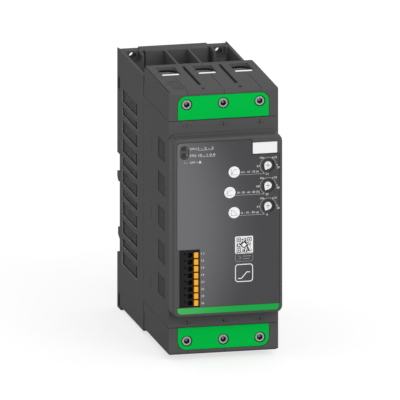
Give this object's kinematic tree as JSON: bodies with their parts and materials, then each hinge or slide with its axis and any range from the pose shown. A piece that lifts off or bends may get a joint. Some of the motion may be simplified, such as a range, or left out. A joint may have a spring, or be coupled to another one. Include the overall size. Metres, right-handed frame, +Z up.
{
  "type": "soft starter",
  "caption": "Three-pole motor soft starter in a tall grey housing, with a control panel, adjusting knobs, a spring-clamp control connector, box-clamp power terminals and a rail seat",
  "frame": {"origin": "on the surface that the device stands on, under the middle of its outer box", "axes": "+Z up along the tall side, +Y towards the rail behind it, -Y the operator's front, +X to the right as seen from the front"},
  "size_m": [0.081, 0.1804, 0.2001],
  "materials": {
    "housing_grey": "dark grey glass-filled polyamide, fine spark-eroded grain",
    "bezel_grey": "dark grey polycarbonate blend, fine satin grain",
    "panel_film": "printed polyester film, grey, lighter towards its left",
    "green_print": "printed polyester film, green",
    "green_plastic": "green moulded plastic, satin",
    "label_white": "white writable plastic",
    "smoked_window": "smoked clear plastic, polished",
    "connector_black": "black moulded plastic, satin",
    "lever_orange": "orange moulded plastic, satin",
    "knob_white": "white moulded plastic, satin",
    "black_anodised": "extruded aluminium, black anodised",
    "clip_black": "black acetal, smooth",
    "spring_steel": "drawn spring wire",
    "circuit_board": "glass-epoxy board, green solder mask",
    "potted_black": "black encapsulated component",
    "relay_case": "off-white component case",
    "tinned_copper": "copper bar with a dull tin plating",
    "plated_steel": "zinc-plated steel, brushed by machining"
  },
  "bodies": {
    "root": {"base_plate": "housing_grey", "rear_housing": "housing_grey", "front_housing": "housing_grey", "upper_terminal_cover": "housing_grey", "lower_terminal_cover": "housing_grey", "front_bezel": "bezel_grey", "front_panel_film": "panel_film", "front_green_stripe": "green_print", "upper_green_strip": "green_plastic", "lower_green_strip": "green_plastic", "label_plate": "label_white", "status_light_guide": "smoked_window", "control_connector": "connector_black", "heat_sink": "black_anodised", "rail_clip_spring": "spring_steel", "control_board": "circuit_board", "power_board": "circuit_board", "current_transformer_1": "potted_black", "current_transformer_3": "potted_black", "potentiometer_1": "potted_black", "thyristor_module_1": "potted_black", "bypass_relay_1": "relay_case", "upper_bar_1": "tinned_copper", "lower_bar_1": "tinned_copper", "potentiometer_2": "potted_black", "thyristor_module_2": "potted_black", "bypass_relay_2": "relay_case", "upper_bar_2": "tinned_copper", "lower_bar_2": "tinned_copper", "potentiometer_3": "potted_black", "thyristor_module_3": "potted_black", "bypass_relay_3": "relay_case", "upper_bar_3": "tinned_copper", "lower_bar_3": "tinned_copper"},
    "knob_1": {"knob_1": "knob_white"},
    "knob_2": {"knob_2": "knob_white"},
    "knob_3": {"knob_3": "knob_white"},
    "lever_1": {"release_lever_1": "lever_orange"},
    "lever_2": {"release_lever_2": "lever_orange"},
    "lever_3": {"release_lever_3": "lever_orange"},
    "lever_4": {"release_lever_4": "lever_orange"},
    "lever_5": {"release_lever_5": "lever_orange"},
    "lever_6": {"release_lever_6": "lever_orange"},
    "lever_7": {"release_lever_7": "lever_orange"},
    "lever_8": {"release_lever_8": "lever_orange"},
    "upper_screw_1": {"upper_terminal_screw_1": "plated_steel"},
    "upper_cage_1": {"upper_clamp_cage_1": "plated_steel"},
    "upper_screw_2": {"upper_terminal_screw_2": "plated_steel"},
    "upper_cage_2": {"upper_clamp_cage_2": "plated_steel"},
    "upper_screw_3": {"upper_terminal_screw_3": "plated_steel"},
    "upper_cage_3": {"upper_clamp_cage_3": "plated_steel"},
    "lower_screw_1": {"lower_terminal_screw_1": "plated_steel"},
    "lower_cage_1": {"lower_clamp_cage_1": "plated_steel"},
    "lower_screw_2": {"lower_terminal_screw_2": "plated_steel"},
    "lower_cage_2": {"lower_clamp_cage_2": "plated_steel"},
    "lower_screw_3": {"lower_terminal_screw_3": "plated_steel"},
    "lower_cage_3": {"lower_clamp_cage_3": "plated_steel"},
    "clip": {"rail_clip": "clip_black"}
  },
  "joints": [
    {"name": "knob_1_turn", "type": "hinge", "parent": "root", "child": "knob_1", "pos_m": [0.0298, -0.0897, 0.1455], "axis": [0, 1, 0], "range_deg": [0, 240]},
    {"name": "knob_2_turn", "type": "hinge", "parent": "root", "child": "knob_2", "pos_m": [0.0298, -0.0897, 0.1304], "axis": [0, 1, 0], "range_deg": [0, 240]},
    {"name": "knob_3_turn", "type": "hinge", "parent": "root", "child": "knob_3", "pos_m": [0.0298, -0.0897, 0.1153], "axis": [0, 1, 0], "range_deg": [0, 240]},
    {"name": "lever_1_push", "type": "slide", "parent": "root", "child": "lever_1", "axis": [0, 1, 0], "range_m": [0, 0.0015], "stiffness_N_per_m": 800, "springref_m": -0.001},
    {"name": "lever_2_push", "type": "slide", "parent": "root", "child": "lever_2", "axis": [0, 1, 0], "range_m": [0, 0.0015], "stiffness_N_per_m": 800, "springref_m": -0.001},
    {"name": "lever_3_push", "type": "slide", "parent": "root", "child": "lever_3", "axis": [0, 1, 0], "range_m": [0, 0.0015], "stiffness_N_per_m": 800, "springref_m": -0.001},
    {"name": "lever_4_push", "type": "slide", "parent": "root", "child": "lever_4", "axis": [0, 1, 0], "range_m": [0, 0.0015], "stiffness_N_per_m": 800, "springref_m": -0.001},
    {"name": "lever_5_push", "type": "slide", "parent": "root", "child": "lever_5", "axis": [0, 1, 0], "range_m": [0, 0.0015], "stiffness_N_per_m": 800, "springref_m": -0.001},
    {"name": "lever_6_push", "type": "slide", "parent": "root", "child": "lever_6", "axis": [0, 1, 0], "range_m": [0, 0.0015], "stiffness_N_per_m": 800, "springref_m": -0.001},
    {"name": "lever_7_push", "type": "slide", "parent": "root", "child": "lever_7", "axis": [0, 1, 0], "range_m": [0, 0.0015], "stiffness_N_per_m": 800, "springref_m": -0.001},
    {"name": "lever_8_push", "type": "slide", "parent": "root", "child": "lever_8", "axis": [0, 1, 0], "range_m": [0, 0.0015], "stiffness_N_per_m": 800, "springref_m": -0.001},
    {"name": "upper_screw_1_turn", "type": "hinge", "parent": "root", "child": "upper_screw_1", "pos_m": [-0.027, -0.0758, 0.19], "axis": [0, 1, 0], "range_deg": [0, 5040]},
    {"name": "upper_cage_1_slide", "type": "slide", "parent": "root", "child": "upper_cage_1", "axis": [0, -1, 0], "range_m": [0, 0.0174]},
    {"name": "upper_screw_2_turn", "type": "hinge", "parent": "root", "child": "upper_screw_2", "pos_m": [0, -0.0758, 0.19], "axis": [0, 1, 0], "range_deg": [0, 5040]},
    {"name": "upper_cage_2_slide", "type": "slide", "parent": "root", "child": "upper_cage_2", "axis": [0, -1, 0], "range_m": [0, 0.0174]},
    {"name": "upper_screw_3_turn", "type": "hinge", "parent": "root", "child": "upper_screw_3", "pos_m": [0.027, -0.0758, 0.19], "axis": [0, 1, 0], "range_deg": [0, 5040]},
    {"name": "upper_cage_3_slide", "type": "slide", "parent": "root", "child": "upper_cage_3", "axis": [0, -1, 0], "range_m": [0, 0.0174]},
    {"name": "lower_screw_1_turn", "type": "hinge", "parent": "root", "child": "lower_screw_1", "pos_m": [-0.027, -0.0758, 0.0144], "axis": [0, 1, 0], "range_deg": [0, 5040]},
    {"name": "lower_cage_1_slide", "type": "slide", "parent": "root", "child": "lower_cage_1", "axis": [0, -1, 0], "range_m": [0, 0.0174]},
    {"name": "lower_screw_2_turn", "type": "hinge", "parent": "root", "child": "lower_screw_2", "pos_m": [0, -0.0758, 0.0144], "axis": [0, 1, 0], "range_deg": [0, 5040]},
    {"name": "lower_cage_2_slide", "type": "slide", "parent": "root", "child": "lower_cage_2", "axis": [0, -1, 0], "range_m": [0, 0.0174]},
    {"name": "lower_screw_3_turn", "type": "hinge", "parent": "root", "child": "lower_screw_3", "pos_m": [0.027, -0.0758, 0.0144], "axis": [0, 1, 0], "range_deg": [0, 5040]},
    {"name": "lower_cage_3_slide", "type": "slide", "parent": "root", "child": "lower_cage_3", "axis": [0, -1, 0], "range_m": [0, 0.0174]},
    {"name": "rail_clip_slide", "type": "slide", "parent": "root", "child": "clip", "axis": [0, 0, -1], "range_m": [0, 0.004], "stiffness_N_per_m": 600, "springref_m": -0.003, "deforming": ["rail_clip_spring"]}
  ],
  "couplings": [
    {"joint": "upper_screw_1_turn", "follows": "upper_cage_1_slide", "rad_per_m": 5026.5},
    {"joint": "upper_screw_2_turn", "follows": "upper_cage_2_slide", "rad_per_m": 5026.5},
    {"joint": "upper_screw_3_turn", "follows": "upper_cage_3_slide", "rad_per_m": 5026.5},
    {"joint": "lower_screw_1_turn", "follows": "lower_cage_1_slide", "rad_per_m": 5026.5},
    {"joint": "lower_screw_2_turn", "follows": "lower_cage_2_slide", "rad_per_m": 5026.5},
    {"joint": "lower_screw_3_turn", "follows": "lower_cage_3_slide", "rad_per_m": 5026.5}
  ]
}
